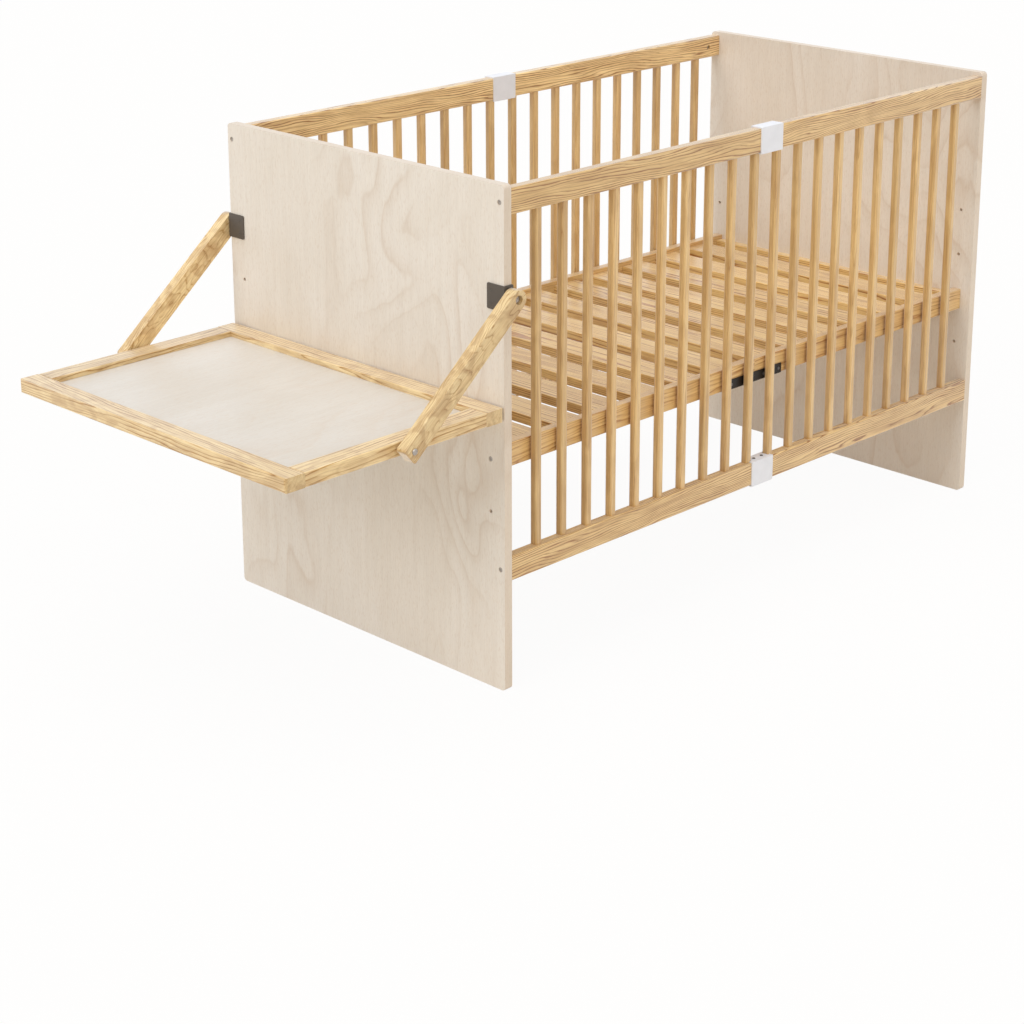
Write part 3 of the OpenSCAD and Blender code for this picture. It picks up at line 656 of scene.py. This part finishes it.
class CRIB_OT_end_panels(bpy.types.Operator):
    """Dresses the two end panels in birch plywood"""

    bl_idname = "crib.end_panels"
    bl_label = "End panels"

    # The highest arch of each figure, from the panel's middle and its foot, as shares of width and height
    near_arch = (-0.28, 0.90)
    far_arch = (0.22, 0.55)

    def execute(self, context):
        wood, edges = context.scene.crib_wood, context.scene.crib_edges
        veneer = rotary_veneer("birch plywood", wood.veneer, wood.veneer_line, wood.ply_thickness)
        low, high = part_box("near_end_panel")
        width, height = high.y - low.y, high.z - low.z
        arches = {
            "near_end_panel": Vector((low.x, self.near_arch[0] * width, self.near_arch[1] * height)),
            "far_end_panel": Vector((0.0, self.far_arch[0] * width, self.far_arch[1] * height)),
        }
        for seed, (node, arch) in enumerate(arches.items()):
            dress_veneer(node, veneer, ALONG_Z, ALONG_Y, edges.panel, seed, arch)
        return {"FINISHED"}


class CRIB_OT_side_rails(bpy.types.Operator):
    """Dresses the half rails of both sides"""

    bl_idname = "crib.side_rails"
    bl_label = "Side rails"

    ring_share = 0.62
    # The seeds give the back rails a light tone, more painted light against the shade inside the crib
    seeds = (20, 49, 124, 32, 91, 255, 57, 89)

    def execute(self, context):
        wood, edges = context.scene.crib_wood, context.scene.crib_edges
        # The back rails get their paler copy of the wood, a painted lift against the shade inside the crib
        woods = {
            side: sawn_wood(f"{side} rail wood", light, wood.rail_ring, self.ring_share * wood.ring_width,
                            wander=0.036, contrast=1.9)
            for side, light in (("front", wood.rail), ("back", wood.back_rail_lifted_for_shade))
        }
        rails = [(side, f"{side}_{level}_rail_{half}") for side in woods for level in ("top", "bottom")
                 for half in ("near", "far")]
        for seed, (side, node) in zip(self.seeds, rails):
            dress_sawn(node, woods[side], ALONG_X, ALONG_Z, edges.board, seed)
        return {"FINISHED"}


class CRIB_OT_side_slats(bpy.types.Operator):
    """Dresses the side slats, each cut from its own place in the wood"""

    bl_idname = "crib.side_slats"
    bl_label = "Side slats"

    ring_share = 0.55
    first_seed = 40

    def execute(self, context):
        wood, edges = context.scene.crib_wood, context.scene.crib_edges
        slat_wood = sawn_wood("slat wood", wood.slat, wood.slat_ring, self.ring_share * wood.ring_width,
                              wander=0.008, contrast=0.60)
        slats = [f"{side}_slats_{half}" for side in ("front", "back") for half in ("near", "far")]
        for seed, node in enumerate(slats, self.first_seed):
            dress_sawn(node, slat_wood, ALONG_Z, ALONG_X, edges.slat, seed)
        return {"FINISHED"}


class CRIB_OT_sleeves(bpy.types.Operator):
    """Dresses the white sleeves that join the half rails, and their screws"""

    bl_idname = "crib.sleeves"
    bl_label = "Joining sleeves"

    def execute(self, context):
        metal, edges = context.scene.crib_metal, context.scene.crib_edges
        white = powder_coat("white paint", metal.sleeve, roughness=0.38)
        dark = plated_steel("dark plated steel", metal.screw, roughness=0.42)
        for side in ("front", "back"):
            for level in ("top", "bottom"):
                dress_metal(f"{side}_{level}_sleeve", white, edges.sleeve, segments=3)
        dress_metal("sleeve_screws", dark, edges.metal)
        return {"FINISHED"}


class CRIB_OT_mattress_base(bpy.types.Operator):
    """Dresses the slatted mattress base with its joining plates"""

    bl_idname = "crib.mattress_base"
    bl_label = "Mattress base"

    rail_ring_share = 0.62
    slat_ring_share = 0.8
    first_rail_seed = 60
    first_slat_seed = 70

    def execute(self, context):
        wood, edges, metal = context.scene.crib_wood, context.scene.crib_edges, context.scene.crib_metal
        rail_wood = sawn_wood("base rail wood", wood.base, wood.base_ring,
                              self.rail_ring_share * wood.ring_width, wander=0.022, contrast=1.1)
        slat_wood = sawn_wood("base slat wood", wood.base_slat, wood.base_ring,
                              self.slat_ring_share * wood.ring_width, wander=0.010, contrast=1.5,
                              quiver_scale=(6.0, 150.0, 150.0), sheen=0.42)
        black = powder_coat("black paint", metal.plate, roughness=0.42)
        dark = plated_steel("plate screw steel", metal.screw, roughness=0.42)
        rails = [f"base_rail_{side}_{half}" for side in ("front", "back") for half in ("near", "far")]
        for seed, node in enumerate(rails, self.first_rail_seed):
            dress_sawn(node, rail_wood, ALONG_X, ALONG_Z, edges.board, seed)
        crosswise = [f"base_{kind}_{half}" for kind in ("end_rail", "slats") for half in ("near", "far")]
        crosswise.append("base_dowels")
        for seed, node in enumerate(crosswise, self.first_slat_seed):
            dress_sawn(node, slat_wood, ALONG_Y, ALONG_X, edges.board, seed)
        for side in ("front", "back"):
            dress_metal(f"base_plate_{side}", black, edges.metal)
        dress_metal("base_plate_screws", dark, edges.metal)
        return {"FINISHED"}


class CRIB_OT_frame_bolts(bpy.types.Operator):
    """Dresses the bolts through the end panels and their barrel nuts"""

    bl_idname = "crib.frame_bolts"
    bl_label = "Frame bolts"

    def execute(self, context):
        metal, edges = context.scene.crib_metal, context.scene.crib_edges
        steel = plated_steel("plated steel", metal.bolt, roughness=0.34)
        for place in ("top_rail", "bottom_rail", "base"):
            dress_metal(f"{place}_bolts", steel, edges.metal)
            dress_metal(f"{place}_nuts", steel, edges.metal)
        return {"FINISHED"}


class CRIB_OT_brackets(bpy.types.Operator):
    """Dresses the corner brackets and the upper pivots"""

    bl_idname = "crib.brackets"
    bl_label = "Brackets and upper pivots"

    def execute(self, context):
        metal, edges = context.scene.crib_metal, context.scene.crib_edges
        charcoal = powder_coat("charcoal paint", metal.bracket, roughness=0.45)
        steel = plated_steel("pivot steel", metal.bolt, roughness=0.34)
        for node in ("bracket_front", "bracket_back", "bracket_screws"):
            dress_metal(node, charcoal, edges.metal)
        for node in ("upper_pivot_bolts", "upper_washers", "panel_inserts"):
            dress_metal(node, steel, edges.metal)
        return {"FINISHED"}


class CRIB_OT_changer_arms(bpy.types.Operator):
    """Dresses the two swing arms, with the grain along them"""

    bl_idname = "crib.changer_arms"
    bl_label = "Changer arms"

    ring_share = 0.9
    seeds = {"arm_front": 83, "arm_back": 81}

    def execute(self, context):
        wood, edges = context.scene.crib_wood, context.scene.crib_edges
        arm_wood = sawn_wood("arm wood", wood.frame_wood, wood.frame_ring, self.ring_share * wood.ring_width,
                             wander=0.055, contrast=0.9, figure=0.10, figure_scale=(22.0, 26.0, 26.0),
                             bend_scale=(9.0, 18.0, 18.0), quiver_scale=(26.0, 150.0, 150.0))
        pivots = {joint["name"]: Vector(joint["pos_m"]) for joint in frame["joints"]}
        along = (pivots["changer_swing"] - pivots["board_level"]).normalized()
        across = ALONG_Y.cross(along)
        for node, seed in self.seeds.items():
            dress_sawn(node, arm_wood, along, across, edges.arm, seed)
        return {"FINISHED"}


class CRIB_OT_changer_board(bpy.types.Operator):
    """Dresses the changing board: its frame, the inset panel, the dowels and the lower pivots"""

    bl_idname = "crib.changer_board"
    bl_label = "Changer board"

    ring_share = 1.3
    # Which way each member runs, which way lies across it, and the seed of its place in the log
    members = {
        "board_outer_member": (ALONG_Y, ALONG_X, 366),
        "board_inner_member": (ALONG_Y, ALONG_X, 67),
        "board_front_member": (ALONG_X, ALONG_Y, 316),
        "board_back_member": (ALONG_X, ALONG_Y, 399),
        "board_dowels": (ALONG_X, ALONG_Y, 94),
    }
    tray_seed = 5
    tray_arch_share = 0.3
    tray_figure = 0.22

    def execute(self, context):
        wood, edges, metal = context.scene.crib_wood, context.scene.crib_edges, context.scene.crib_metal
        frame_wood = sawn_wood("changer frame wood", wood.frame_wood, wood.frame_ring,
                               self.ring_share * wood.ring_width, wander=0.034, contrast=1.4, figure=0.08,
                               figure_scale=(14.0, 38.0, 38.0))
        # The tray's darker veneer colour is painted shade against the overhead lamp on its upward face
        veneer = rotary_veneer("tray plywood", wood.tray, wood.veneer_line, wood.ply_thickness,
                               self.tray_figure)
        steel = plated_steel("lower pivot steel", metal.bolt, roughness=0.30)
        for node, (along, across, seed) in self.members.items():
            dress_sawn(node, frame_wood, along, across, edges.board, seed)
        low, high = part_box("board_tray_panel")
        arch = Vector((high.x, low.y + self.tray_arch_share * (high.y - low.y), high.z))
        dress_veneer("board_tray_panel", veneer, ALONG_X, ALONG_Y, edges.slat, self.tray_seed, arch)
        for node in ("board_inserts", "lower_pivot_bolts", "lower_spacers"):
            dress_metal(node, steel, edges.metal)
        return {"FINISHED"}


# ---------------------------------------------------------------- studio


def add_floor(colour, glow, reach):
    """Pale floor. What the camera, and gloss, see of it is part plain white, so its shadow stays soft."""
    finish = Finish("floor")
    diffuse = finish.add("ShaderNodeBsdfDiffuse", {"Color": opaque(colour)}).outputs["BSDF"]
    white = finish.add("ShaderNodeEmission", {"Color": WHITE, "Strength": 1.0}).outputs["Emission"]
    finish.show_white(diffuse, white, glow)
    mesh = bmesh.new()
    bmesh.ops.create_grid(mesh, x_segments=1, y_segments=1, size=reach)
    data = bpy.data.meshes.new("floor")
    mesh.to_mesh(data)
    mesh.free()
    data.materials.append(finish.material)
    floor = bpy.data.objects.new("floor", data)
    bpy.context.scene.collection.objects.link(floor)


def white_world(sky):
    """Even light all round, seen as plain white."""
    world = bpy.data.worlds.new("studio")
    shader = ShaderTree(world, "ShaderNodeOutputWorld")
    light = shader.add("ShaderNodeBackground", {"Color": WHITE, "Strength": sky}).outputs["Background"]
    white = shader.add("ShaderNodeBackground", {"Color": WHITE, "Strength": 1.0}).outputs["Background"]
    shader.show_white(light, white, 1.0)
    return world


def add_sun(name, strength, spread, towards):
    """A soft lamp whose light travels along towards and spreads by so many degrees."""
    lamp = bpy.data.lights.new(name, "SUN")
    lamp.energy = strength
    lamp.angle = math.radians(spread)
    sun = bpy.data.objects.new(name, lamp)
    sun.rotation_mode = "QUATERNION"
    sun.rotation_quaternion = Vector(towards).to_track_quat("-Z", "Y")
    bpy.context.scene.collection.objects.link(sun)


def add_camera(studio):
    """The camera at the photographed angle, with its lens axis where the image has it."""
    lens = bpy.data.cameras.new("camera")
    lens.sensor_width = SENSOR_WIDTH
    lens.lens = studio.focal_pixels / IMAGE_SIZE * SENSOR_WIDTH
    lens.shift_x = (IMAGE_SIZE / 2 - studio.axis_x) / IMAGE_SIZE
    lens.shift_y = (studio.axis_y - IMAGE_SIZE / 2) / IMAGE_SIZE
    camera = bpy.data.objects.new("camera", lens)
    heading, pitch = studio.camera_heading, studio.camera_pitch
    level = math.cos(pitch)
    ahead = Vector((math.cos(heading) * level, math.sin(heading) * level, -math.sin(pitch)))
    turned = ahead.to_track_quat("-Z", "Y").to_matrix().to_4x4()
    camera.matrix_world = Matrix.Translation(studio.camera_place) @ turned
    bpy.context.scene.collection.objects.link(camera)
    bpy.context.scene.camera = camera


class CRIB_OT_studio(bpy.types.Operator):
    """Sets the floor, the lamps, the sky and the camera at the photographed angle"""

    bl_idname = "crib.studio"
    bl_label = "Studio"

    floor_reach = 30.0
    # Spread of each lamp in degrees, and the way that its light travels
    lamps = {
        "key": (28, (0.85, -0.06, -0.52)),
        "front": (50, (0.12, 0.82, -0.56)),
        "top": (60, (0.15, 0.05, -0.98)),
    }

    def execute(self, context):
        scene, studio = context.scene, context.scene.crib_studio
        add_floor(studio.floor, studio.floor_glow, self.floor_reach)
        for name, (spread, towards) in self.lamps.items():
            add_sun(name, getattr(studio, name), spread, towards)
        scene.world = white_world(studio.sky)
        scene.view_settings.view_transform = "Standard"
        add_camera(studio)
        return {"FINISHED"}


# ---------------------------------------------------------------- add-on

PIECES = (
    CRIB_OT_end_panels,
    CRIB_OT_side_rails,
    CRIB_OT_side_slats,
    CRIB_OT_sleeves,
    CRIB_OT_mattress_base,
    CRIB_OT_frame_bolts,
    CRIB_OT_brackets,
    CRIB_OT_changer_arms,
    CRIB_OT_changer_board,
    CRIB_OT_studio,
)
SETTINGS = {
    "crib_wood": CribWoodSettings,
    "crib_metal": CribMetalSettings,
    "crib_edges": CribEdgeSettings,
    "crib_studio": CribStudioSettings,
}


class CRIB_PT_panel(bpy.types.Panel):
    """Lists the pieces of the crib and their settings"""

    bl_label = "Crib with changer"
    bl_idname = "CRIB_PT_panel"
    bl_space_type = "VIEW_3D"
    bl_region_type = "UI"
    bl_category = "Crib"

    def draw(self, context):
        for operator in PIECES:
            self.layout.operator(operator.bl_idname)
        for name, group in SETTINGS.items():
            box = self.layout.box()
            settings = getattr(context.scene, name)
            for field in group.__annotations__:
                box.prop(settings, field)


CLASSES = (*SETTINGS.values(), *PIECES, CRIB_PT_panel)


def register():
    for cls in CLASSES:
        bpy.utils.register_class(cls)
    for name, group in SETTINGS.items():
        setattr(bpy.types.Scene, name, bpy.props.PointerProperty(type=group))


def unregister():
    for name in SETTINGS:
        delattr(bpy.types.Scene, name)
    for cls in reversed(CLASSES):
        bpy.utils.unregister_class(cls)


def main():
    """Dresses the whole crib."""
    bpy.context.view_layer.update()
    register()
    bpy.ops.crib.end_panels()
    bpy.ops.crib.side_rails()
    bpy.ops.crib.side_slats()
    bpy.ops.crib.sleeves()
    bpy.ops.crib.mattress_base()
    bpy.ops.crib.frame_bolts()
    bpy.ops.crib.brackets()
    bpy.ops.crib.changer_arms()
    bpy.ops.crib.changer_board()
    bpy.ops.crib.studio()


if __name__ == "__main__":
    main()
